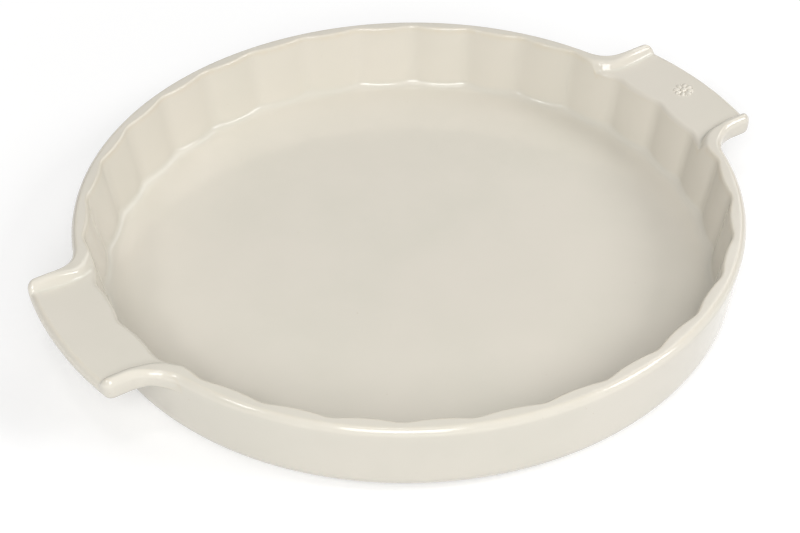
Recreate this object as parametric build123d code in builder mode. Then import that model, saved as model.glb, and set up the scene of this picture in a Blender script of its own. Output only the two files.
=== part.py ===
"""Round fluted pie dish in glazed stoneware, with two open handles.

Z is up, and the origin is the middle of the surface that the dish stands on. The handles lie along X.
The clay body is shaped whole, as it is in its mould, and then divided into the basin and its two handles.
"""
from build123d import *
import math
import os

# Body of the dish
rim_radius = 150.4          # outside of the wall at the rim
wall_flare = 4.4            # how much wider the wall stands at the rim than at the underside
floor_depth = 31.5          # from the rim down to the floor
base_thickness = 4.0
heel_round = 7.0            # outer edge between wall and underside
rim_outer_round = 2.5
rim_inner_chamfer = 1.2

# Foot ring, left unglazed
foot_inset = 9.0            # from the edge of the underside in to the ring
foot_width = 6.0
foot_height = 1.5
foot_chamfer = 0.4

# Flutes inside the wall: shallow lobes that bulge inwards and meet in grooves
flute_count = 32
rim_width = 7.2             # from the outside in to the grooves
flute_relief = 2.3          # from a groove to the crown of a lobe, at the rim
flute_lean = 3.6            # how far the flutes lean in, from the rim down to the floor
groove_round = 0.9

# Cove between the flutes and the flat floor
cove_width = 4.3            # from the crowns in to the flat floor
cove_radius = 12.0

# Handles
handle_length = 22.2        # from the rim out to the middle of the outer edge
handle_width = 79.0         # over both lips
handle_edge_radius = 140.0  # bow of the outer edge
handle_drop = 8.0           # from the rim down to the underside of the handle
handle_tip_round = 4.5      # corners seen from above
sweep_share = 4 / 5         # hollow where the wall turns out into the lip, to the handle's length
handle_under_bevel = 2.5
bevel_angle = 45

# Lips that run along both sides of a handle
lip_width = 5.1
lip_rise = 2.5              # crest above the rim
lip_climb = 16.0            # run over which the rim climbs to the lip
lip_inner_sweep = 14.0      # turn of the crease, where the lip joins the rim

# Plate between the lips, which carries on over the wall
plate_drop_at_wall = 3.7    # below the rim
plate_drop_at_edge = 1.4
plate_end_round = 3.0

# Raised rosette on one plate
rosette_setback = 12.6      # from the outer edge of the handle in to the middle of the rosette
petal_count = 8
petal_length = 3.2
petal_width = 2.2
petal_height = 0.7
button_radius = 2.0
button_height = 1.2
rosette_chamfer = 0.3

# Waste that cuts run past the material, and how near an edge must lie to be picked
overrun = 3.0
near = 0.1

# Levels, slopes and widths that follow
underside_level = foot_height
floor_level = underside_level + base_thickness
rim_level = floor_level + floor_depth
lip_level = rim_level + lip_rise
waste_level = lip_level + overrun
handle_underside_level = rim_level - handle_drop
base_radius = rim_radius - wall_flare
foot_radius = base_radius - foot_inset
groove_rim_radius = rim_radius - rim_width
crown_rim_radius = groove_rim_radius - flute_relief
floor_radius = crown_rim_radius - flute_lean - cove_width
handle_reach = rim_radius + handle_length
handle_sweep = sweep_share * handle_length
rosette_reach = handle_reach - rosette_setback
wall_slope = wall_flare / (rim_level - underside_level)
flute_slope = flute_lean / floor_depth
plate_slope = (plate_drop_at_wall - plate_drop_at_edge) / handle_length
wall_taper = math.degrees(math.atan(wall_slope))
flute_taper = math.degrees(math.atan(flute_slope))


def wall_radius(level):
    """Outside radius of the wall at a level."""
    return rim_radius + wall_slope * (level - rim_level)


def flute_radius(radius_at_rim, level):
    """Radius of the crowns or the grooves of the flutes at a level."""
    return radius_at_rim + flute_slope * (level - rim_level)


def plate_level(reach):
    """Level of a plate's top at a distance from the axis."""
    return rim_level - plate_drop_at_edge - plate_slope * (handle_reach - reach)


def around(radius, turn):
    """Point at a radius, a share of a whole turn round from X."""
    angle = math.tau * turn
    return (radius * math.cos(angle), radius * math.sin(angle))


# Outline of the dish with its handles, at the level from which the clay is cut down
flare = wall_slope * overrun
half_width = handle_width / 2 + flare
edge_radius = handle_edge_radius + flare
edge_sag = edge_radius - math.sqrt(edge_radius**2 - half_width**2)
edge_reach = handle_reach + flare
tip_reach = edge_reach - edge_sag
with BuildSketch(Plane.XY.offset(waste_level)) as outline:
    Circle(wall_radius(waste_level))
    with BuildLine():
        Line((0, -half_width), (tip_reach, -half_width))
        ThreePointArc((tip_reach, -half_width), (edge_reach, 0), (tip_reach, half_width))
        Polyline((tip_reach, half_width), (0, half_width), (0, -half_width))
    make_face()
    mirror(about=Plane.YZ)
    fillet(outline.vertices().filter_by(lambda v: abs(v.X) > rim_radius), handle_tip_round)
    on_sides = outline.vertices().filter_by(lambda v: abs(abs(v.Y) - half_width) < near)
    fillet(on_sides.filter_by(lambda v: abs(v.X) < rim_radius), handle_sweep)

# Everything above the crest, which climbs from the rim to the lips
climb_start = rim_radius - lip_climb / 2
climb_end = climb_start + lip_climb
climb_middle = (rim_radius, (rim_level + lip_level) / 2)
crest_end = handle_reach + 2 * overrun
with BuildPart() as above_crest:
    with BuildSketch(Plane.XZ):
        with BuildLine():
            Line((0, rim_level), (climb_start, rim_level))
            TangentArc((climb_start, rim_level), climb_middle, tangent=(1, 0))
            TangentArc((climb_end, lip_level), climb_middle, tangent=(-1, 0))
            Polyline(
                (climb_end, lip_level),
                (crest_end, lip_level),
                (crest_end, waste_level + overrun),
                (0, waste_level + overrun),
                (0, rim_level),
            )
        make_face()
        mirror(about=Plane.YZ)
    extrude(amount=rim_radius + overrun, both=True)

# Space over the plates, between the lips: a lane in plan, cut off by the slope of each plate
lane_crown = crown_rim_radius - overrun / 2
lane_half_width = handle_width / 2 - lip_width
lane_level = rim_level - 2 * plate_drop_at_wall
lane_start = lane_crown / 2
with BuildPart() as above_plates:
    with BuildSketch(Plane.XY.offset(lane_level)) as lane:
        Circle(lane_crown)
        Rectangle(2 * crest_end, 2 * lane_half_width)
        lane_sides = lane.vertices().filter_by(lambda v: abs(abs(v.Y) - lane_half_width) < near)
        fillet(lane_sides.filter_by(lambda v: abs(v.X) < rim_radius), lip_inner_sweep)
    extrude(amount=waste_level - lane_level)
    with BuildSketch(Plane.XZ):
        with BuildLine():
            Polyline(
                (lane_start, plate_level(lane_start)),
                (crest_end + overrun, plate_level(crest_end + overrun)),
                (crest_end + overrun, waste_level + overrun),
                (lane_start, waste_level + overrun),
                close=True,
            )
        make_face()
        mirror(about=Plane.YZ)
    extrude(amount=rim_radius, both=True, mode=Mode.INTERSECT)

# Hollow of the dish: the fluted wall, closed below by the floor and its cove
cove_reach = floor_radius + cove_radius
with BuildPart() as well:
    with BuildSketch(Plane.XY.offset(waste_level)):
        with BuildLine():
            for flute in range(flute_count):
                ThreePointArc(
                    around(flute_radius(groove_rim_radius, waste_level), flute / flute_count),
                    around(flute_radius(crown_rim_radius, waste_level), (flute + 1 / 2) / flute_count),
                    around(flute_radius(groove_rim_radius, waste_level), (flute + 1) / flute_count),
                )
        make_face()
    extrude(amount=floor_level - waste_level - overrun, taper=flute_taper)
    fillet(well.edges().filter_by(lambda e: abs(e.tangent_at(0).Z) > 1 / 2), groove_round)
    with BuildSketch(Plane.XZ):
        with BuildLine():
            Line((0, floor_level), (floor_radius, floor_level))
            CenterArc((floor_radius, floor_level + cove_radius), cove_radius, -90, 90)
            Polyline(
                (cove_reach, floor_level + cove_radius),
                (cove_reach + rim_width, floor_level + cove_radius),
                (cove_reach + rim_width, waste_level + overrun),
                (0, waste_level + overrun),
                (0, floor_level),
            )
        make_face()
    revolve(axis=Axis.Z, mode=Mode.INTERSECT)


def from_axis(point):
    """Distance of a point from the axis of the dish."""
    return math.hypot(point.X, point.Y)


def is_near(sketch, point, reach):
    """Whether a point lies, in plan, within a reach of a sketch's outline."""
    face = sketch.faces()[0]
    return face.outer_wire().distance_to(Vertex(point.X, point.Y, face.center().Z)) < reach


def is_outer_crest(edge):
    """Outer top edge of the rim, the lips and the handle ends."""
    middle = edge.position_at(1 / 2)
    return middle.Z > rim_level - near and is_near(outline.sketch, middle, rim_outer_round / 2)


def is_on_flank(edge):
    """Edge on the inner flank of a lip."""
    middle = edge.position_at(1 / 2)
    return from_axis(middle) > lane_crown + overrun / 4 and is_near(lane.sketch, middle, near)


def is_lip_top(edge):
    """Top edge of the inner flank of a lip."""
    return edge.position_at(1 / 2).Z > rim_level - near and is_on_flank(edge)


def is_in_flutes(point):
    """Whether a point lies between the crowns and the grooves of the flutes."""
    outer = flute_radius(groove_rim_radius, point.Z) + near
    inner = flute_radius(crown_rim_radius, point.Z) - near
    return inner < from_axis(point) < outer


def is_inner_rim(edge):
    """Scalloped inner edge of the rim."""
    middle = edge.position_at(1 / 2)
    return abs(middle.Z - rim_level) < near and is_in_flutes(middle)


def is_plate_end(edge):
    """Scalloped edge where a plate ends over the flutes."""
    middle = edge.position_at(1 / 2)
    is_on_plate = abs(middle.Z - plate_level(abs(middle.X))) < near
    return is_on_plate and is_in_flutes(middle) and not is_on_flank(edge)


# The whole clay body, before it is divided
with BuildPart() as body:
    with BuildSketch(Plane.XZ):
        with BuildLine():
            Polyline(
                (0, underside_level),
                (base_radius, underside_level),
                (rim_radius, rim_level),
                (0, rim_level),
                close=True,
            )
        make_face()
    revolve(axis=Axis.Z)
    fillet(body.edges().filter_by(GeomType.CIRCLE).sort_by(Axis.Z)[0], heel_round)

    handle_depth = waste_level - handle_underside_level - handle_under_bevel
    wings = extrude(outline.sketch, amount=-handle_depth, taper=wall_taper)
    extrude(wings.faces().sort_by(Axis.Z)[0], amount=handle_under_bevel, taper=bevel_angle)
    add(above_crest.part, mode=Mode.SUBTRACT)
    fillet(body.edges().filter_by(is_outer_crest), rim_outer_round)

    add(above_plates.part, mode=Mode.SUBTRACT)
    add(well.part, mode=Mode.SUBTRACT)
    chamfer(body.edges().filter_by(lambda e: is_lip_top(e) or is_inner_rim(e)), rim_inner_chamfer)
    fillet(body.edges().filter_by(is_plate_end), plate_end_round)

# Cone of the wall: the clay inside it belongs to the basin, and the clay outside it to a handle
with BuildPart() as wall_cone:
    with BuildSketch(Plane.XZ):
        with BuildLine():
            Polyline(
                (0, -overrun),
                (wall_radius(-overrun), -overrun),
                (wall_radius(waste_level), waste_level),
                (0, waste_level),
                close=True,
            )
        make_face()
    revolve(axis=Axis.Z)

with BuildPart() as basin:
    add(body.part)
    add(wall_cone.part, mode=Mode.INTERSECT)
basin.part.label = "basin"

with BuildPart() as handles:
    add(body.part)
    add(wall_cone.part, mode=Mode.SUBTRACT)

with BuildPart() as handle_left:
    add(handles.solids().sort_by(Axis.X)[0])
handle_left.part.label = "handle_left"

with BuildPart() as handle_right:
    add(handles.solids().sort_by(Axis.X)[-1])
handle_right.part.label = "handle_right"

# Bare ring under the dish
with BuildPart() as foot_ring:
    with BuildSketch(Plane.XZ) as foot_section:
        with Locations((foot_radius - foot_width / 2, foot_height / 2)):
            Rectangle(foot_width, foot_height)
        chamfer(foot_section.vertices().group_by(Axis.Y)[0], foot_chamfer)
    revolve(axis=Axis.Z)
foot_ring.part.label = "foot_ring"

# Rosette of petals round a button, on the plane of the right plate
rosette_plane = Plane(
    origin=(rosette_reach, 0, plate_level(rosette_reach)),
    x_dir=(0, 1, 0),
    z_dir=(-plate_slope, 0, 1),
)
rosette_axis = Axis(rosette_plane.origin, rosette_plane.z_dir)
with BuildPart() as sprig_rosette:
    with BuildSketch(rosette_plane):
        with PolarLocations(petal_length, petal_count):
            Ellipse(petal_length / 2, petal_width / 2)
    extrude(amount=petal_height)
    chamfer(sprig_rosette.faces().group_by(rosette_axis)[-1].edges(), rosette_chamfer)
    with BuildSketch(rosette_plane):
        Circle(button_radius)
    extrude(amount=button_height)
    chamfer(sprig_rosette.faces().sort_by(rosette_axis)[-1].edges(), rosette_chamfer)
sprig_rosette.part.label = "sprig_rosette"

os.makedirs("parts", exist_ok=True)
export_step(basin.part, "parts/basin.step")
export_step(handle_left.part, "parts/handle_left.step")
export_step(handle_right.part, "parts/handle_right.step")
export_step(foot_ring.part, "parts/foot_ring.step")
export_step(sprig_rosette.part, "parts/sprig_rosette.step")
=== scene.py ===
# %% [markdown]
# A round fluted pie dish with two handles, dressed in Blender around its imported CAD model. The CAD model is
# the fixed frame: every piece is in metres and lies where the CAD says.

import math

import bmesh
import bpy
import numpy as np
from mathutils import Matrix, Vector


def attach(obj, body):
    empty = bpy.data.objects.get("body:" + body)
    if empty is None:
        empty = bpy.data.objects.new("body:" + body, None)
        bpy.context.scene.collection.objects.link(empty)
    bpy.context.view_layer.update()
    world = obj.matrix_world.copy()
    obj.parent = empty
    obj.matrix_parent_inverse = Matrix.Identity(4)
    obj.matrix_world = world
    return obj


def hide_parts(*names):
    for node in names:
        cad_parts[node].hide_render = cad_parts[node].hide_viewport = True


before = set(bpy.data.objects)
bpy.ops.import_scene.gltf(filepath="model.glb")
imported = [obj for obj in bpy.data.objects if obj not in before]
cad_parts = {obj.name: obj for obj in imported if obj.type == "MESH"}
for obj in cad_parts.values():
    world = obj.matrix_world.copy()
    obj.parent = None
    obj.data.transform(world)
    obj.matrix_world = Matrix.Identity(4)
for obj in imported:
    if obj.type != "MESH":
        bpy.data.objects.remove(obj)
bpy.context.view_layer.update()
mm = 0.001
print("nodes", sorted(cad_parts))

# %% [markdown]
# The photograph looks down on the dish from about 39 degrees above the table, with the handles turned
# across the view. Its outlines give the place, the direction, the small roll and the lens of the camera.
# Blender's camera looks along its own -Z, so a tracking rotation does the aiming, and a turn about Z adds
# the roll.

# %% Camera
camera_place = Vector((-0.3470, -0.5464, 0.5248))
camera_aim = Vector((0.4112, 0.6568, -0.6320))
camera_roll = math.radians(-1.105)
sensor_width, lens = 36.0, 81.27

view = bpy.data.objects.new("camera", bpy.data.cameras.new("camera"))
view.data.sensor_width = sensor_width
view.data.lens = lens
view.matrix_world = (
    Matrix.Translation(camera_place)
    @ camera_aim.to_track_quat("-Z", "Y").to_matrix().to_4x4()
    @ Matrix.Rotation(camera_roll, 4, "Z")
)
bpy.context.scene.collection.objects.link(view)
bpy.context.scene.camera = view
bpy.context.scene.view_settings.view_transform = "Standard"
print("camera", round(camera_place.length, 3), "m from the frame's origin")

# %% [markdown]
# Materials are graphs of nodes. Written out one by one they hide the idea, so a small class wraps a socket:
# a sum on it adds the Math node, and one method adds every other kind of node. What is the same all over
# the surface is set on the shader's own socket, and only what changes over the surface is a graph.

# %% Shader sums


class Wire:
    """A socket of a shader graph that can be used in sums."""

    def __init__(self, tree, socket=None):
        self.tree = tree
        self.socket = socket

    def node(self, kind, settings=(), sockets=(), out=0):
        """Adds a node: first its settings, then the values or links of its sockets."""
        made = self.tree.nodes.new("ShaderNode" + kind)
        for name, value in dict(settings).items():
            setattr(made, name, value)
        for name, value in dict(sockets).items():
            if isinstance(value, Wire):
                self.tree.links.new(value.socket, made.inputs[name])
            else:
                made.inputs[name].default_value = value
        return Wire(self.tree, made.outputs[out])

    def math(self, operation, first, second):
        return self.node("Math", {"operation": operation}, {0: first, 1: second})

    def __add__(self, other):
        return self.math("ADD", self, other)

    def __sub__(self, other):
        return self.math("SUBTRACT", self, other)

    def __rsub__(self, other):
        return self.math("SUBTRACT", other, self)

    def __mul__(self, other):
        return self.math("MULTIPLY", self, other)

    __radd__ = __add__
    __rmul__ = __mul__


def new_material(name):
    """An empty material, its graph and its output node."""
    made = bpy.data.materials.new(name)
    made.use_nodes = True
    made.node_tree.nodes.clear()
    end = made.node_tree.nodes.new("ShaderNodeOutputMaterial")
    return made, Wire(made.node_tree), end


def finish_material(graph, end, shader):
    graph.tree.links.new(shader.socket, end.inputs["Surface"])
    print("material of", len(graph.tree.nodes), "nodes")


# %% [markdown]
# A finish is put together from three small pieces. Noise gives clouds and grains of any size and needs no
# picture, because it reads the place on the object. A span stretches a part of a value's range to the whole
# way from nought to one. A mix goes from one colour to another by such a share.

# %% Noise, spans and mixes


def noise(place, scale, detail=2.0):
    return place.node("TexNoise", (), {"Vector": place, "Scale": scale, "Detail": detail, "Roughness": 0.55})


def mix_colour(share, first, second):
    return share.node("MixRGB", {"blend_type": "MIX"}, {"Fac": share, "Color1": first, "Color2": second})


def span(value, low, high, most=1.0):
    """Nought at low, the most at high and straight between."""
    settings, sockets = {"clamp": True}, {"Value": value, "From Min": low, "From Max": high, "To Max": most}
    return value.node("MapRange", settings, sockets)


# %% [markdown]
# The dish stands on plain white paper. A wide white plane would do, but paper lit like the dish looks grey
# next to a photograph whose paper is burnt out to pure white. So the paper also glows a little, though only
# to the camera and in reflections: it keeps the soft shadow and throws no extra light on the dish. The glow
# grows with the distance from the dish, because the lamps fade out there.

# %% Paper
paper_colour, floor_half_size = (0.7, 0.7, 0.7, 1), 6
glow_near, glow_added_far, glow_grows_from, glow_grows_to = 0.37, 0.5, 0.22, 1.5

paper, graph, end = new_material("paper")
path = graph.node("LightPath").socket.node
camera_ray, glossy_ray, passing_ray = (
    Wire(graph.tree, path.outputs[name])
    for name in ("Is Camera Ray", "Is Glossy Ray", "Is Transmission Ray"))
is_seen = camera_ray + glossy_ray + passing_ray
place = graph.node("TexCoord", out=3)
distance = place.node("VectorMath", {"operation": "LENGTH"}, {0: place}, out=1)
glow_level = span(distance, glow_grows_from, glow_grows_to, glow_added_far) + glow_near
glow = graph.node("Emission", (), {"Color": (1, 1, 1, 1), "Strength": is_seen * glow_level})
white = graph.node("BsdfDiffuse", (), {"Color": paper_colour})
finish_material(graph, end, graph.node("AddShader", (), {0: white, 1: glow}))


def new_object(name, shape, material):
    """An object that takes over a finished bmesh."""
    data = bpy.data.meshes.new(name)
    shape.to_mesh(data)
    shape.free()
    data.materials.append(material)
    made = bpy.data.objects.new(name, data)
    bpy.context.scene.collection.objects.link(made)
    print(name, len(data.polygons), "faces")
    return made


floor_shape = bmesh.new()
bmesh.ops.create_grid(floor_shape, x_segments=1, y_segments=1, size=floor_half_size)
new_object("floor", floor_shape, paper)

# %% [markdown]
# The room round the dish gives a low, even light, a little warm. The camera sees it as plain white instead:
# the Light Path node tells the camera's own rays from the rest, so the backdrop can be bright without
# lighting the dish more.

# %% Room
room_colour, room_light = (1.0, 0.99, 0.975, 1), 0.22

room = bpy.data.worlds.new("room")
room.use_nodes = True
room.node_tree.nodes.clear()
graph = Wire(room.node_tree)
even = graph.node("Background", (), {"Color": room_colour, "Strength": room_light})
backdrop = graph.node("Background", (), {"Color": (1, 1, 1, 1), "Strength": 1.0})
shown = graph.node("MixShader", (), {0: graph.node("LightPath"), 1: even, 2: backdrop})
room_end = room.node_tree.nodes.new("ShaderNodeOutputWorld")
room.node_tree.links.new(shown.socket, room_end.inputs["Surface"])
bpy.context.scene.world = room
print("room of", len(room.node_tree.nodes), "nodes")

# %% [markdown]
# Most of the light comes from soft boxes that stand round the dish, about 40 degrees above the table: the
# strongest on the camera's side and two on the right, one of them behind the dish. They shade the flutes
# softly. Two small lamps, one at the front left and one overhead, add little light. They are there for the
# glaze, which mirrors each lamp as a bright line along the rim, the lips and the feet of the flutes.

# %% Soft boxes
lamp_distance = 2.0
camera_heading = math.atan2(camera_place.y, camera_place.x)


def soft_box(name, side, tilt, size, power):
    """A square lamp aimed at the dish. side is in degrees to the camera's right, tilt is above the table."""
    turn, height = camera_heading + math.radians(side), math.radians(tilt)
    across = math.cos(height)
    place = lamp_distance * Vector((across * math.cos(turn), across * math.sin(turn), math.sin(height)))
    lamp = bpy.data.objects.new(name, bpy.data.lights.new(name, "AREA"))
    lamp.data.shape = "RECTANGLE"
    lamp.data.size, lamp.data.size_y = size, size
    lamp.data.energy = power
    lamp.location = place
    lamp.rotation_euler = (-place).to_track_quat("-Z", "Y").to_euler()
    bpy.context.scene.collection.objects.link(lamp)
    print("lamp", name, power, "W at", [round(way, 2) for way in place])


soft_box("front", side=-4, tilt=38, size=1.0, power=25)
soft_box("front_left", side=-58, tilt=42, size=0.28, power=3.6)
soft_box("overhead", side=-20, tilt=76, size=0.25, power=2)
soft_box("right", side=78, tilt=36, size=0.7, power=12)
soft_box("back_right", side=140, tilt=42, size=1.2, power=8)

# %% [markdown]
# The glaze is a glossy, warm white skin over buff clay. It runs while it is molten: it draws thin over
# every edge, where the clay warms its colour, and gathers in grooves and corners, where it looks a little
# cooler. Both could be painted by hand. Here the meshes of bowl and handles carry how sharply the surface
# turns as an attribute, above nought on an edge and below it in a groove, so that the glaze follows the
# shape by itself. Slow noise adds the faint clouds and the slight waves that a dipped glaze has, and fine
# noise a few pinholes.

# %% Glaze
cool_white, warm_white = (0.722, 0.690, 0.604, 1), (0.750, 0.711, 0.627, 1)
rosy_white, pooled_glaze = (0.744, 0.700, 0.618, 1), (0.685, 0.668, 0.585, 1)
thin_glaze, clay_in_pinhole = (0.72, 0.62, 0.46, 1), (0.55, 0.46, 0.34, 1)
glaze_ior, least_rough, rougher_in_clouds, rougher_where_thin = 1.5, 0.08, 0.05, 0.06

glaze, graph, end = new_material("glaze")
place = graph.node("TexCoord", out=3)
turning = graph.node("Attribute", {"attribute_name": "turning"}, out=2)

tone = mix_colour(span(noise(place, 22.0, 3.0), 0.36, 0.64), cool_white, warm_white)
tone = mix_colour(span(noise(place, 9.0), 0.38, 0.62) * 0.5, tone, rosy_white)
tone = mix_colour(span(turning, -0.04, -0.5) * 0.55, tone, pooled_glaze)
thin = span(turning, 0.26, 0.65) * span(noise(place, 160.0, 3.0), 0.2, 0.8)
tone = mix_colour(thin * 0.35, tone, thin_glaze)
pinholes = span(noise(place, 700.0, 1.0), 0.79, 0.84)
tone = mix_colour(pinholes * 0.5, tone, clay_in_pinhole)
rough = span(noise(place, 35.0, 3.0), 0.3, 0.7) * rougher_in_clouds + least_rough + thin * rougher_where_thin
waves = noise(place, 55.0, 2.0) + noise(place, 420.0, 2.0) * 0.05 - pinholes * 0.1
bump = graph.node("Bump", (), {"Strength": 0.35, "Distance": 0.0003, "Height": waves})
shader = graph.node(
    "BsdfPrincipled", (), {"Base Color": tone, "Roughness": rough, "Normal": bump, "IOR": glaze_ior})
finish_material(graph, end, shader)

# %% [markdown]
# The ring that the dish stands on is wiped free of glaze, so that it doesn't stick to the kiln shelf. It
# shows the bare stoneware: matt and sandy, with dark grains of iron and a slightly rough skin. Each of
# these is a noise of its own size, because sand, stains and iron grains differ in nothing else.

# %% Bare stoneware
pale_sand, dark_sand = (0.67, 0.57, 0.44, 1), (0.56, 0.46, 0.34, 1)
stain, iron_grain = (0.60, 0.48, 0.35, 1), (0.22, 0.15, 0.10, 1)

bare_stoneware, graph, end = new_material("bare_stoneware")
place = graph.node("TexCoord", out=3)
sand = span(noise(place, 900.0, 4.0), 0.3, 0.7)
tone = mix_colour(sand, dark_sand, pale_sand)
tone = mix_colour(span(noise(place, 30.0, 3.0), 0.4, 0.65) * 0.5, tone, stain)
tone = mix_colour(span(noise(place, 1500.0, 1.0), 0.70, 0.76) * 0.8, tone, iron_grain)
bump = graph.node("Bump", (), {"Strength": 0.8, "Distance": 0.00025, "Height": noise(place, 1300.0, 4.0)})
rough = sand * 0.12 + 0.78
shader = graph.node("BsdfPrincipled", (), {"Base Color": tone, "Roughness": rough, "Normal": bump})
finish_material(graph, end, shader)

# %% [markdown]
# The dish is one body of clay: a round, fluted bowl whose rim runs out into two handles. Its sizes are in
# millimetres. They follow the CAD model, and differ from it by a millimetre or two where the photograph
# shows more. Where the CAD has a crisp edge, the fired dish has a soft one, under glaze. Such a skin has no
# simple start shape, so its places are formulas of the plan, and faces are laid over them.
#
# Seen from above, a handle's outline leaves the round rim in a hollow sweep, runs along the side, turns a
# small corner and bows across the end. The two halves are mirror images, so one half is drawn as arcs and
# mirrored.

# %% Outline of a handle
rim_radius = 150.07
handle_half, handle_reach, handle_bow = 39.6, 172.0, 185.0
handle_sweep, tip_round = 17.8, 4.2


def arc(centre, radius, start, stop, count):
    turn = np.radians(np.linspace(start, stop, count))
    return np.stack([centre[0] + radius * np.cos(turn), centre[1] + radius * np.sin(turn)], 1)


def beside(radius, sweep, half):
    """Middle of a hollow sweep that touches a round edge about the origin, and a straight side at half."""
    return math.sqrt((radius + sweep) ** 2 - (half + sweep) ** 2), half + sweep


sweep_centre = beside(rim_radius, handle_sweep, handle_half)
sweep_turn = math.degrees(math.atan2(sweep_centre[1], sweep_centre[0]))
bow_centre = handle_reach - handle_bow
tip_side = handle_half - tip_round
tip_centre = (bow_centre + math.sqrt((handle_bow - tip_round) ** 2 - tip_side**2), tip_side)
tip_turn = math.degrees(math.atan2(tip_centre[1], tip_centre[0] - bow_centre))
half_outline = np.concatenate([
    arc(sweep_centre, handle_sweep, 180 + sweep_turn, 270, 160),
    arc(tip_centre, tip_round, 90, tip_turn, 80),
    arc((bow_centre, 0), handle_bow, tip_turn, 0, 240),
])
apart = np.r_[True, np.hypot(*np.diff(half_outline, axis=0).T) > 1e-6]
half_outline = half_outline[apart]
outline = np.concatenate([half_outline * (1, -1), half_outline[-2::-1]])
outline_run = np.r_[0, np.cumsum(np.hypot(*np.diff(outline, axis=0).T))]
print("the outline of a handle is", round(outline_run[-1], 1), "mm long")
print("it leaves the rim", round(sweep_turn, 2), "degrees from the handle's middle")

# %% [markdown]
# Two questions are asked of the outline. A line of the handle's mesh asks where it ends, and which way is
# out there. The rounding of the edge asks how far inside the outline a place lies.

# %% Measuring on the outline


def outline_at(run):
    """Points and outward directions at runs along the outline."""
    step = 0.05
    point, ahead, behind = (
        np.stack([np.interp(place, outline_run, outline[:, axis]) for axis in (0, 1)], 1)
        for place in (run, run + step, run - step))
    along = ahead - behind
    along /= np.hypot(along[:, 0], along[:, 1])[:, None]
    return point, np.stack([along[:, 1], -along[:, 0]], 1)


def outline_inset(x, y):
    """Distance inside the outline of the whole dish, in plan."""
    x, y = np.abs(x), np.abs(y)
    turn = np.degrees(np.arctan2(y, x))
    inset = rim_radius - np.hypot(x, y)
    past_handle = 3
    near = turn < sweep_turn + past_handle
    here = np.stack([x[near], y[near]], 1)
    if len(here):
        best = np.full(len(here), np.inf)
        for start, stop in zip(half_outline[:-1], half_outline[1:]):
            along = stop - start
            share = np.clip(((here - start) @ along) / (along @ along), 0, 1)
            gap = np.hypot(*(here - start - share[:, None] * along).T)
            best = np.minimum(best, gap)
        beyond = turn[near] > sweep_turn
        inset[near] = np.where(beyond, np.minimum(inset[near], best), best)
    return inset


side_inset = outline_inset(np.zeros(1), np.full(1, 140.0))[0]
print("a place 140 mm out at the side is", round(side_inset, 2), "mm inside")

# %% [markdown]
# The top of the rim and the handles is a height over the plan. A lip is the rim carried on: its crest
# climbs out of the rim and sinks a little at its end. Between the two lips a plate slopes gently down
# towards the bowl.

# %% Crest and plate
rim_level = 37.3
lip_rise, climb_from, climb_run = 2.2, 142.4, 16.0
lip_end_fall, lip_end_inset, lip_end_run = 1.2, 9, 12
plate_drop, plate_slope = 1.1, 0.09


def smooth_step(x):
    x = np.clip(x, 0, 1)
    return x * x * (3 - 2 * x)


def crest_level(x):
    climb = smooth_step((np.abs(x) - climb_from) / climb_run)
    end = smooth_step((np.abs(x) - handle_reach + lip_end_inset) / lip_end_run)
    return rim_level + lip_rise * climb - lip_end_fall * end


def plate_level(x):
    return rim_level - plate_drop - plate_slope * (handle_reach - np.abs(x))


print("lips rise to", round(crest_level(np.arange(140, 172, 0.1)).max(), 2), "mm")

# %% [markdown]
# A flank falls from the crest of a lip to the plate: a round top, a steep side and a small hollow at its
# foot. The lane between the lips has an outline of its own. It runs straight along the lips, then sweeps
# outwards to the well, and there the flank fades into the rim. A hand sculptor would carve this; as a
# formula it stays the same on all four lips.

# %% Lane between the lips
lip_crest_half, lane_half, lane_crown, lane_sweep = 36.9, 34.4, 143.6, 13.0
flank_angle = math.radians(62)
crest_round, crease_round = 3.0, 1.6
lane_end_fade, lane_edge_before, lane_edge_run = 2.0, 2.0, 5.0

lane_centre = beside(lane_crown, lane_sweep, lane_half)
lane_turn = math.degrees(math.atan2(lane_centre[1], lane_centre[0]))


def lane_depth(x, y):
    """Distance inside the lane between the lips: nought on its line, and negative on the lips."""
    x, y = np.abs(x), np.abs(y)
    swept = np.hypot(x - lane_centre[0], y - lane_centre[1]) - lane_sweep
    return np.where(x > lane_centre[0], lane_half - y, swept)


def lane_end(x, y):
    """One in the lane's range of turns, nought beyond, with a short fade."""
    turn = np.degrees(np.arctan2(np.abs(y), np.abs(x)))
    return smooth_step((lane_turn - turn) / lane_end_fade)


def lane_share(x, y):
    """One between the lips, nought on the lips and the rim."""
    return smooth_step((lane_depth(x, y) + lane_edge_before) / lane_edge_run) * lane_end(x, y)


def flank_fall(run, drop):
    """Fall of a lip's inner side at a run from its crest, down to the whole drop."""
    sine, cosine, steep = math.sin(flank_angle), math.cos(flank_angle), math.tan(flank_angle)
    top_run, top_fall = crest_round * sine, crest_round * (1 - cosine)
    low_run, low_fall = crease_round * sine, crease_round * (1 - cosine)
    middle_run = (drop - top_fall - low_fall) / steep
    whole = top_run + middle_run + low_run
    on_top = crest_round - np.sqrt(np.maximum(crest_round**2 - np.clip(run, 0, top_run) ** 2, 0))
    on_side = top_fall + (run - top_run) * steep
    left = np.clip(whole - run, 0, low_run)
    on_low = drop - (crease_round - np.sqrt(np.maximum(crease_round**2 - left**2, 0)))
    fall = np.where(run < top_run, on_top, np.where(run < top_run + middle_run, on_side, on_low))
    return np.where(run >= whole, drop, fall)


def top_level(x, y):
    """Level of the top, before its outer and inner edges are rounded."""
    crest = crest_level(x)
    run = lane_depth(x, y) + (lip_crest_half - lane_half)
    return crest - flank_fall(run, crest - plate_level(x)) * lane_end(x, y)


print("the lane ends", round(lane_turn, 2), "degrees from the handle's middle")

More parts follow.
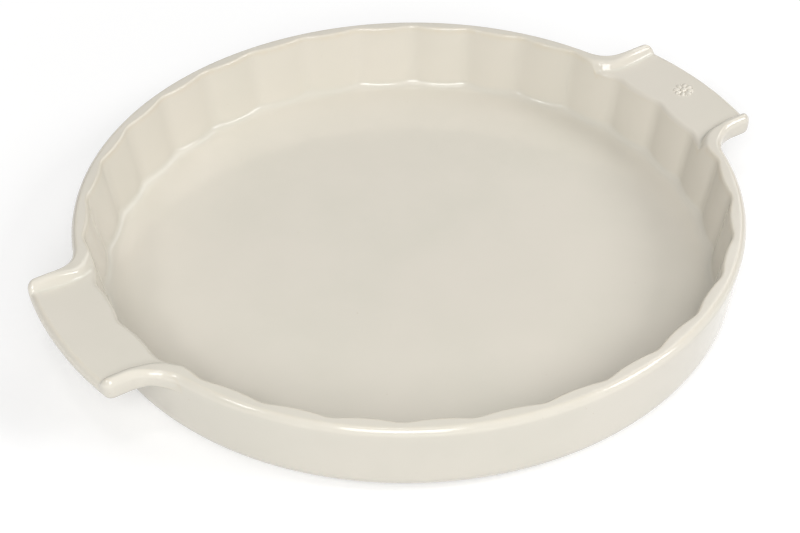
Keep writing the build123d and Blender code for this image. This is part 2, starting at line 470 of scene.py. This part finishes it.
# %% [markdown]
# The outer edge of rim and handles was sponged when the clay was leather hard. It starts with a slight
# corner and then turns round to upright. A bevel would need a clean edge to work on, and here the top is
# already a formula, so the rounding is a fall that depends on the distance inside the outline.

# %% Outer edge
rim_round = 2.3
rim_edge_angle = math.radians(20)


def round_fall(inset):
    """How far the edge has fallen at a distance inside the outline: a slight corner first, then round."""
    sine = math.sin(rim_edge_angle)
    radius = rim_round / (1 - sine)
    here = radius * sine + np.clip(rim_round - inset, 0, rim_round)
    fall = radius * math.cos(rim_edge_angle) - np.sqrt(np.maximum(radius**2 - here**2, 0))
    return np.where(inset < rim_round, fall, 0)


print("the outer edge falls by", round(float(round_fall(0.0)), 2), "mm")

# %% [markdown]
# The wall inside is cut into 32 shallow lobes. A lobe is nearly a parabola across, and where two meet,
# glaze has filled the bottom of the groove. The wall leans in towards the floor. The lobes could be cut out
# of a solid one by one, but that leaves hard grooves. A formula for the wall's radius lets lobe run into
# lobe.

# %% Flutes
flute_count = 32
crown_radius, flute_relief, flute_slope = 142.7, 2.2, 5.4 / 31.8
groove_softness, relief_taper = 1.0, 0.003


def flute_share(turn):
    """Nought on the crown of a lobe, and in a groove one, less a quarter of the softness."""
    across = np.abs(np.mod(turn * flute_count / 360, 1) * 2 - 1)
    here, next_lobe = across**2, (2 - across) ** 2
    mixed = np.maximum(groove_softness - np.abs(here - next_lobe), 0) / groove_softness
    return np.minimum(here, next_lobe) - mixed**2 * groove_softness / 4


def flute_radius(turn, level):
    lean = flute_slope * (level - rim_level)
    relief = flute_relief * flute_share(turn) * (1 + relief_taper * (level - rim_level))
    return crown_radius + lean + relief


print("a groove is", round(float(flute_relief * flute_share(0.0)), 2), "mm deep at the rim")

# %% [markdown]
# The bowl is a set of rings, from the middle of the floor over the rim to the middle of the underside.
# Where the clay turns they are close together. The stations are the places along each ring. They are closer
# together at the handles, where more happens.

# %% Stations round the bowl
fine, coarse = 96, 20
lobes_at_handle, lobes_between = 4, 12
lobe = 360 / flute_count
half_round = [lobe / fine] * (lobes_at_handle * fine) + [lobe / coarse] * (lobes_between * coarse)
turns = np.r_[0, np.cumsum(half_round + half_round)[:-1]] - lobes_at_handle / 2 * lobe
cos_turn, sin_turn = np.cos(np.radians(turns)), np.sin(np.radians(turns))
from_axis = np.degrees(np.arctan2(np.abs(sin_turn), np.abs(cos_turn)))
rings = []


def add_ring(radius, level):
    """One more ring: a pair of radius and level at each station."""
    rings.append(np.stack([radius + 0 * turns, level + 0 * turns], 1))


def add_top_ring(radius, fall=0):
    """One more ring on the top, or a fall below it."""
    x, y = radius * cos_turn, radius * sin_turn
    add_ring(radius, top_level(x, y) - fall - round_fall(outline_inset(x, y)))


print(len(turns), "stations")

# %% [markdown]
# The flat floor rises in a round cove, and the flutes stand on it. Glaze has run down the flutes and lies
# in the corner at their feet. A curve from the cove to the wall, drawn towards the sharp corner between
# them, gives that soft foot.

# %% Floor, cove and feet of the flutes
floor_level = 5.5
cove_start, cove_radius = 133.0, 12.0
flute_foot_height, foot_blend = 1.2, 2.0


def cove_level(radius):
    return floor_level + cove_radius - np.sqrt(cove_radius**2 - (radius - cove_start) ** 2)


for radius in (25, 50, 75, 95, 112, 124, 130, cove_start):
    add_ring(radius, floor_level)
foot = flute_radius(turns, floor_level + flute_foot_height)
for share in (0.3, 0.6, 0.85, 1):
    radius = cove_start + (foot - foot_blend - cove_start) * share
    add_ring(radius, cove_level(radius))

foot_start = rings[-1]
foot_corner = np.stack([foot, cove_level(foot)], 1)
wall_start = foot_corner[:, 1] + foot_blend
foot_end = np.stack([flute_radius(turns, wall_start), wall_start], 1)
for share in np.linspace(0, 1, 8)[1:]:
    left = 1 - share
    rings.append(foot_start * left**2 + foot_corner * 2 * share * left + foot_end * share * share)
print(len(rings), "rings up to the foot of the wall, at most", round(wall_start.max(), 2), "mm high")

# %% [markdown]
# The wall goes up to an edge that is round but tight along the rim. Where a plate ends at the well, the
# edge is worn rounder, and roundest at the corner where a lip's flank runs out over it.

# %% Wall inside and its top edge
inner_round, plate_end_round, corner_round = 1.2, 2.6, 3.0
corner_inset, corner_spread = 0.9, 1.3
past_edge = 2
flute_lean = math.degrees(math.atan(flute_slope))

edge = flute_radius(turns, rim_level - inner_round)
plate_share = lane_share((edge + past_edge) * cos_turn, (edge + past_edge) * sin_turn)
corner_share = np.exp(-((from_axis - lane_turn + corner_inset) / corner_spread) ** 2)
rounding = inner_round + (plate_end_round - inner_round) * plate_share
rounding = rounding + (corner_round - rounding) * corner_share
wall_top = top_level(edge * cos_turn, edge * sin_turn) - rounding * (1 - math.sin(math.radians(flute_lean)))
for share in (0.05, 0.12, 0.22, 0.34, 0.48, 0.62, 0.76, 0.9, 1):
    level = wall_start + (wall_top - wall_start) * share
    add_ring(flute_radius(turns, level), level)
edge = flute_radius(turns, wall_top)
for angle in np.radians(np.linspace(flute_lean, 90, 11)[1:]):
    add_top_ring(edge + rounding * (1 - math.cos(angle)), rounding * (1 - math.sin(angle)))
print("the wall ends", round(wall_top.min(), 2), "to", round(wall_top.max(), 2), "mm high")

# %% [markdown]
# The rim is nearly flat. Its rings follow the wavy inner edge at first and the round outer edge at last. At
# the handles there is no outer rounding to follow, so the rings spread evenly there, up to the seam with a
# handle.

# %% Rim
handle_fade = 3
inner = rings[-1][:, 0]
handle_share = smooth_step((sweep_turn - from_axis) / handle_fade)
flat = [inner + (rim_radius - rim_round - inner) * share for share in (0.15, 0.35, 0.55, 0.78, 1)]
rim_angles = np.radians((12, 25, 38, 51, 64, 77, 90))
curved = [rim_radius - rim_round * (1 - math.sin(angle)) for angle in rim_angles]
for number, radius in enumerate(flat + curved, 1):
    evenly = inner + (rim_radius - inner) * number / (len(flat) + len(curved))
    add_top_ring(radius * (1 - handle_share) + evenly * handle_share)
seam_ring_number = len(rings) - 1
print(len(rings), "rings up to the outside of the rim")

# %% [markdown]
# The outer wall hangs upright under the rim, then leans in to a round heel and a flat base. It is a turned
# surface, but its rings go on from the rim's, so that one skin has no seam.

# %% Outer wall and underside
underside, heel_round, heel_centre_radius = 1.5, 7.0, 139.81
wall_slope, upright_run = 4.4 / 35.5, 3.0
slope_to_heel_share = 1.006
wall_lean = math.atan(wall_slope)


def wall_radius(level):
    """Radius of the outer wall: upright under the rim's rounding, then leaning in to the heel."""
    fallen = np.maximum(rim_level - rim_round - level, 0)
    bent, straight = fallen**2 / (2 * upright_run), fallen - upright_run / 2
    return rim_radius - slope_to_heel_share * wall_slope * np.where(fallen < upright_run, bent, straight)


edge_level = rings[-1][:, 1]
heel_centre_level = underside + heel_round
heel_top = heel_centre_level - heel_round * math.sin(wall_lean)
for share in (0.06, 0.14, 0.24, 0.36, 0.5, 0.64, 0.78, 0.9, 1):
    level = edge_level + (heel_top - edge_level) * share
    add_ring(wall_radius(level), level)
for angle in np.radians(np.linspace(math.degrees(wall_lean), 90, 9)[1:]):
    radius = heel_centre_radius + heel_round * math.cos(angle)
    add_ring(radius, heel_centre_level - heel_round * math.sin(angle))
for radius in (136, 130, 90, 40):
    add_ring(radius, underside)
rings = np.array(rings)
print(len(rings), "rings in all")

# %% [markdown]
# A handle grows from the ring at the rim's own radius. Lines fan out from its stations to the outline, and
# each line goes on round the edge, back under the handle and down into the wall. Where a handle runs out
# into the rim there is less and less room for the roundings, so they shrink with the width that is left.

# %% Lines of a handle
at_handle = np.abs(turns) < sweep_turn
cos_here, sin_here = cos_turn[at_handle], sin_turn[at_handle]

seam = np.stack([rim_radius * cos_here, rim_radius * sin_here], 1)
half_run, half_seam = outline_run[-1] / 2, rim_radius * math.radians(sweep_turn)
bend = (1 - half_seam / half_run) / 2
across_share = turns[at_handle] / sweep_turn
edge, out = outline_at(half_run * (1 + across_share * (1 + bend) - bend * across_share**3))
width = np.hypot(*(edge - seam).T)
rows = []


def add_row(place, level):
    rows.append(np.column_stack([place, level + 0 * width]))


def add_top_row(place):
    x, y = place.T
    add_row(place, top_level(x, y) - round_fall(outline_inset(x, y)))


print(len(width), "lines, the longest", round(width.max(), 2), "mm")

# %% [markdown]
# The top of a handle is the height over the plan again, sampled along each line. Its last eight rows turn
# round the outer edge.

# %% Top and outer edge of a handle
edge_width_share = 0.6
depth = np.minimum(rim_round, edge_width_share * width)[:, None]
shoulder = edge - out * depth
for share in np.linspace(0, 1, 30):
    add_top_row(seam + (shoulder - seam) * share)
for angle in np.radians((10, 20, 30, 41, 52, 64, 77, 90)):
    add_top_row(edge - out * depth * (1 - math.sin(angle)))
edge_level = rows[-1][:, 2]
print("a handle's outer edge is", round(edge_level.min(), 2), "to", round(edge_level.max(), 2), "mm high")

# %% [markdown]
# Underneath, a handle is a flat shelf that a finger can hook under. Its outer corner is well rounded, and a
# small fillet of clay joins it to the wall.

# %% Underside of a handle
handle_under, under_round = 29.0, 3.2
root_round, root_width_share = 3.0, 0.3
turn_under = np.minimum(under_round, edge_width_share * width)
for share in (0.3, 0.65, 1):
    level = edge_level + (handle_under + turn_under - edge_level) * share
    add_row(edge - out * (rim_radius - wall_radius(level))[:, None], level)
side = rows[-1][:, :2]
for angle in np.radians((12, 24, 37, 50, 63, 76, 90)):
    inwards = (turn_under * (1 - math.cos(angle)))[:, None]
    add_row(side - out * inwards, handle_under + turn_under * (1 - math.sin(angle)))
inner_side = rows[-1][:, :2]

root = np.minimum(root_round, root_width_share * width)
wall = (wall_radius(handle_under) + root)[:, None] * np.stack([cos_here, sin_here], 1)
for share in np.linspace(0, 1, 10)[1:]:
    add_row(inner_side + (wall - inner_side) * share, handle_under)
for angle in np.radians((15, 30, 45, 60, 75, 90)):
    level = handle_under - root * (1 - math.cos(angle))
    radius = wall_radius(level) + root * (1 - math.sin(angle))
    add_row(radius[:, None] * np.stack([cos_here, sin_here], 1), level)
rows = np.array(rows)
print(len(rows), "rows of a handle, reaching", rows[..., 0].max().round(2), "mm")

# %% [markdown]
# Each piece is a grid of faces laid on those rows, because create_grid already knits faces to their
# neighbours and only their places are left to give. The doubles at the poles and along closed rows are
# merged, any hole that is left is filled, and the normals are turned outwards. Where bowl and handle are
# joined, faces are buried in the clay: they close each piece, and a mark on them tells the next step to
# leave them out.

# %% Pieces from rows
merge_within, thinnest = 0.003, 0.0001


def laid_grid(name, places, material, buried):
    """An object with faces laid on rows of places in millimetres. buried marks the faces inside the clay."""
    shape = bmesh.new()
    rows_count, stations_count = places.shape[0] - 1, places.shape[1] - 1
    bmesh.ops.create_grid(shape, x_segments=rows_count, y_segments=stations_count, size=1)
    mark = shape.faces.layers.int.new("buried")
    for face in shape.faces:
        middle = face.calc_center_median()
        row = int((middle.x + 1) / 2 * rows_count)
        station = int((middle.y + 1) / 2 * stations_count)
        face[mark] = int(buried[row, station])
    for corner in shape.verts:
        row = round((corner.co.x + 1) / 2 * rows_count)
        station = round((corner.co.y + 1) / 2 * stations_count)
        corner.co = Vector(places[row, station]) * mm
    bmesh.ops.remove_doubles(shape, verts=shape.verts, dist=merge_within * mm)
    bmesh.ops.dissolve_degenerate(shape, edges=shape.edges, dist=thinnest * mm)
    bmesh.ops.holes_fill(shape, edges=shape.edges)
    bmesh.ops.recalc_face_normals(shape, faces=shape.faces)
    for face in shape.faces:
        face.smooth = True
    return new_object(name, shape, material)


# %% [markdown]
# The next two steps make several pieces look like one skin. Blender shades each object by its own normals,
# and a line would show where two pieces meet. So the corners of all pieces are gathered first, each with
# its face's direction and area. A buried face counts for nothing.

# %% Corners of a piece


def piece_corners(made):
    """For each face corner: its place, the next corner's place, the face's direction, area and mark."""
    data = made.data
    place = np.empty(len(data.vertices) * 3, np.float32)
    data.vertices.foreach_get("co", place)
    place = place.reshape(-1, 3)
    corner = np.empty(len(data.loops), np.int32)
    data.loops.foreach_get("vertex_index", corner)
    sizes = np.array([len(face.vertices) for face in data.polygons])
    direction = np.array([face.normal for face in data.polygons])
    area = np.array([face.area for face in data.polygons])
    buried = np.array([mark.value for mark in data.attributes["buried"].data], bool)
    after = np.arange(len(corner)) + 1
    ends = np.cumsum(sizes)
    after[ends - 1] = ends - sizes
    return (place[corner], place[corner[after]], np.repeat(direction, sizes, 0),
            np.repeat(area * ~buried, sizes), np.repeat(buried, sizes), corner)


# %% [markdown]
# Corners at the same place then share one normal, the mean of their faces by area. The change of that
# normal along an edge, divided by the edge's length, is how sharply the skin turns there, in 1/mm. The
# glaze reads it.

# %% One skin over several pieces
steps_per_metre, shortest_square, smoothing_rounds = 2e5, 1e-4, 2


def strongest_turning(count, index, index_next, turn):
    """The strongest turning at each place, above nought on an edge and below it in a groove."""
    most, least = np.zeros(count), np.zeros(count)
    for at in (index, index_next):
        np.maximum.at(most, at, turn)
        np.minimum.at(least, at, turn)
    return np.where(most > -least, most, least)


def share_skin(*objects):
    """Gives the pieces shared smooth normals and the attribute turning."""
    facts = [piece_corners(made) for made in objects]
    places, nexts, directions, areas, burieds, corners = (np.concatenate(part) for part in zip(*facts))
    both = np.round(np.concatenate([places, nexts]) * steps_per_metre)
    shared, index = np.unique(both, axis=0, return_inverse=True)
    index, index_next = index.ravel()[:len(places)], index.ravel()[len(places):]
    total = np.zeros((len(shared), 3))
    np.add.at(total, index, directions * areas[:, None])
    length = np.linalg.norm(total, axis=1, keepdims=True)
    total /= np.maximum(length, 1e-20)
    own = burieds | (length[index, 0] == 0)
    smooth = total[index]
    smooth[own] = directions[own]

    edge = (nexts - places) * 1000
    turn = ((total[index_next] - total[index]) * edge).sum(1) / np.maximum((edge**2).sum(1), shortest_square)
    turn[burieds] = 0
    turning = strongest_turning(len(shared), index, index_next, turn)
    for _ in range(smoothing_rounds):
        near, count = turning.copy(), np.ones(len(shared))
        np.add.at(near, index[~burieds], turning[index_next[~burieds]])
        np.add.at(count, index[~burieds], 1)
        turning = near / count

    first = 0
    for made in objects:
        part = slice(first, first + len(made.data.loops))
        made.data.normals_split_custom_set([tuple(n) for n in smooth[part]])
        at_vertex = np.zeros(len(made.data.vertices))
        at_vertex[corners[part]] = turning[index[part]]
        made.data.attributes.new("turning", "FLOAT", "POINT").data.foreach_set("value", at_vertex)
        first = part.stop
    print("the skin turns by", turning.min().round(2), "to", turning.max().round(2), "per mm")


# %% [markdown]
# Now the bowl and the handles are laid. The two handles are the same rows, and for the left one both plan
# directions are turned round, so it is turned by half a circle and not mirrored. Each piece stands for its
# CAD node, rides on the one body and takes the glaze.

# %% Bowl and handles
around = np.r_[turns, turns[0]]
radius, level = np.concatenate([rings, rings[:, :1]], 1).transpose(2, 0, 1)
radius = np.concatenate([0 * radius[:1], radius, 0 * radius[:1]])
level = np.concatenate([level[:1], level, level[-1:]])
bowl_places = np.stack([radius * np.cos(np.radians(around)), radius * np.sin(np.radians(around)), level], 2)
seam_row = 1 + seam_ring_number
rows_in_handle, clear_of_feather = 3, 0.2
face_from_axis = np.abs((around[:-1] + lobe / fine / 2 + 90) % 180 - 90)
buried = np.zeros((bowl_places.shape[0] - 1, bowl_places.shape[1] - 1), bool)
buried[seam_row:seam_row + rows_in_handle, face_from_axis < sweep_turn - clear_of_feather] = True
bowl = laid_grid("glazed_bowl", bowl_places, glaze, buried)

closed_rows = np.concatenate([rows, rows[:1]])
buried = np.zeros((closed_rows.shape[0] - 1, closed_rows.shape[1] - 1), bool)
buried[-1] = True
handle_right = laid_grid("glazed_handle_right", closed_rows, glaze, buried)
handle_left = laid_grid("glazed_handle_left", closed_rows * (-1, -1, 1), glaze, buried)
share_skin(bowl, handle_right, handle_left)

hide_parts("basin")
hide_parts("handle_right")
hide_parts("handle_left")
for piece in (bowl, handle_right, handle_left):
    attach(piece, "root")

# %% [markdown]
# The foot ring is a low rectangle of clay turned round the middle, which is just what spin does to a
# square. Use on tables and in ovens has worn its two lower edges round, and a bevel does the wearing.

# %% Foot ring
foot_radius, foot_width, foot_sunk, foot_worn = 137.0, 6.0, 0.6, 0.6
touching = 1e-6
foot_height = underside + foot_sunk

turned = bmesh.new()
upright = Matrix.Rotation(math.pi / 2, 4, "X") @ Matrix.Rotation(math.pi / 4, 4, "Z")
bmesh.ops.create_circle(turned, segments=4, radius=foot_width * mm / math.sqrt(2), matrix=upright)
bmesh.ops.scale(turned, vec=(1, 1, foot_height / foot_width), verts=turned.verts)
bmesh.ops.translate(
    turned, verts=turned.verts, vec=((foot_radius - foot_width / 2) * mm, 0, foot_height / 2 * mm))
bmesh.ops.spin(
    turned, geom=turned.verts[:] + turned.edges[:], cent=(0, 0, 0), axis=(0, 0, 1), angle=2 * math.pi,
    steps=360, use_merge=True, use_duplicate=False)
bmesh.ops.remove_doubles(turned, verts=turned.verts, dist=touching)


def is_lower_edge(edge):
    """Whether an edge runs round the ring and lies on the table."""
    start, stop = (corner.co for corner in edge.verts)
    return max(start.z, stop.z) < touching and abs(start.xy.length - stop.xy.length) < touching


lower_edges = [edge for edge in turned.edges if is_lower_edge(edge)]
bmesh.ops.bevel(
    turned, geom=lower_edges, offset=foot_worn * mm, segments=4, profile=0.5, affect="EDGES", material=-1)
bmesh.ops.recalc_face_normals(turned, faces=turned.faces)
for face in turned.faces:
    face.smooth = True
ring = new_object("bare_foot_ring", turned, bare_stoneware)
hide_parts("foot_ring")
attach(ring, "root")

# %% [markdown]
# The rosette was pressed in a small mould and stuck to the plate before glazing, so it is low and all its
# edges are soft. It could be carved from a disc, but petals, beads and button are simply flattened balls
# that are sunk into the plate.

# %% Rosette
rosette_reach, rosette_sunk, petal_count = 159.4, 0.15, 8
petal_middle, petal_sizes = 3.25, (1.85, 1.2, 0.85)
bead_middle, bead_sizes = 4.7, (0.5, 0.5, 0.45)
button_sizes = (1.6, 1.6, 1.3)
rosette_level = plate_level(rosette_reach) - rosette_sunk

pressed = bmesh.new()


def press_ball(turn, middle, half_sizes, around, upwards):
    """Adds a flattened ball. middle is its distance from the rosette's own middle."""
    place = Matrix.Rotation(turn, 4, "Z") @ Matrix.Translation((middle * mm, 0, 0))
    shape = Matrix.Diagonal((*half_sizes, 1))
    bmesh.ops.create_uvsphere(pressed, u_segments=around, v_segments=upwards, radius=mm, matrix=place @ shape)


for number in range(petal_count):
    press_ball(number * math.tau / petal_count, petal_middle, petal_sizes, around=32, upwards=16)
for number in range(petal_count):
    press_ball((number + 0.5) * math.tau / petal_count, bead_middle, bead_sizes, around=16, upwards=10)
press_ball(0, 0, button_sizes, around=32, upwards=16)
on_plate = Matrix.Translation((rosette_reach * mm, 0, rosette_level * mm)) @ Matrix.Rotation(
    -math.atan(plate_slope), 4, "Y")
bmesh.ops.transform(pressed, verts=pressed.verts, matrix=on_plate)
bmesh.ops.recalc_face_normals(pressed, faces=pressed.faces)
for face in pressed.faces:
    face.smooth = True
rosette = new_object("glazed_rosette", pressed, glaze)
print("top of the rosette at", round(max(v.co.z for v in rosette.data.vertices) / mm, 2), "mm")
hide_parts("sprig_rosette")
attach(rosette, "root")
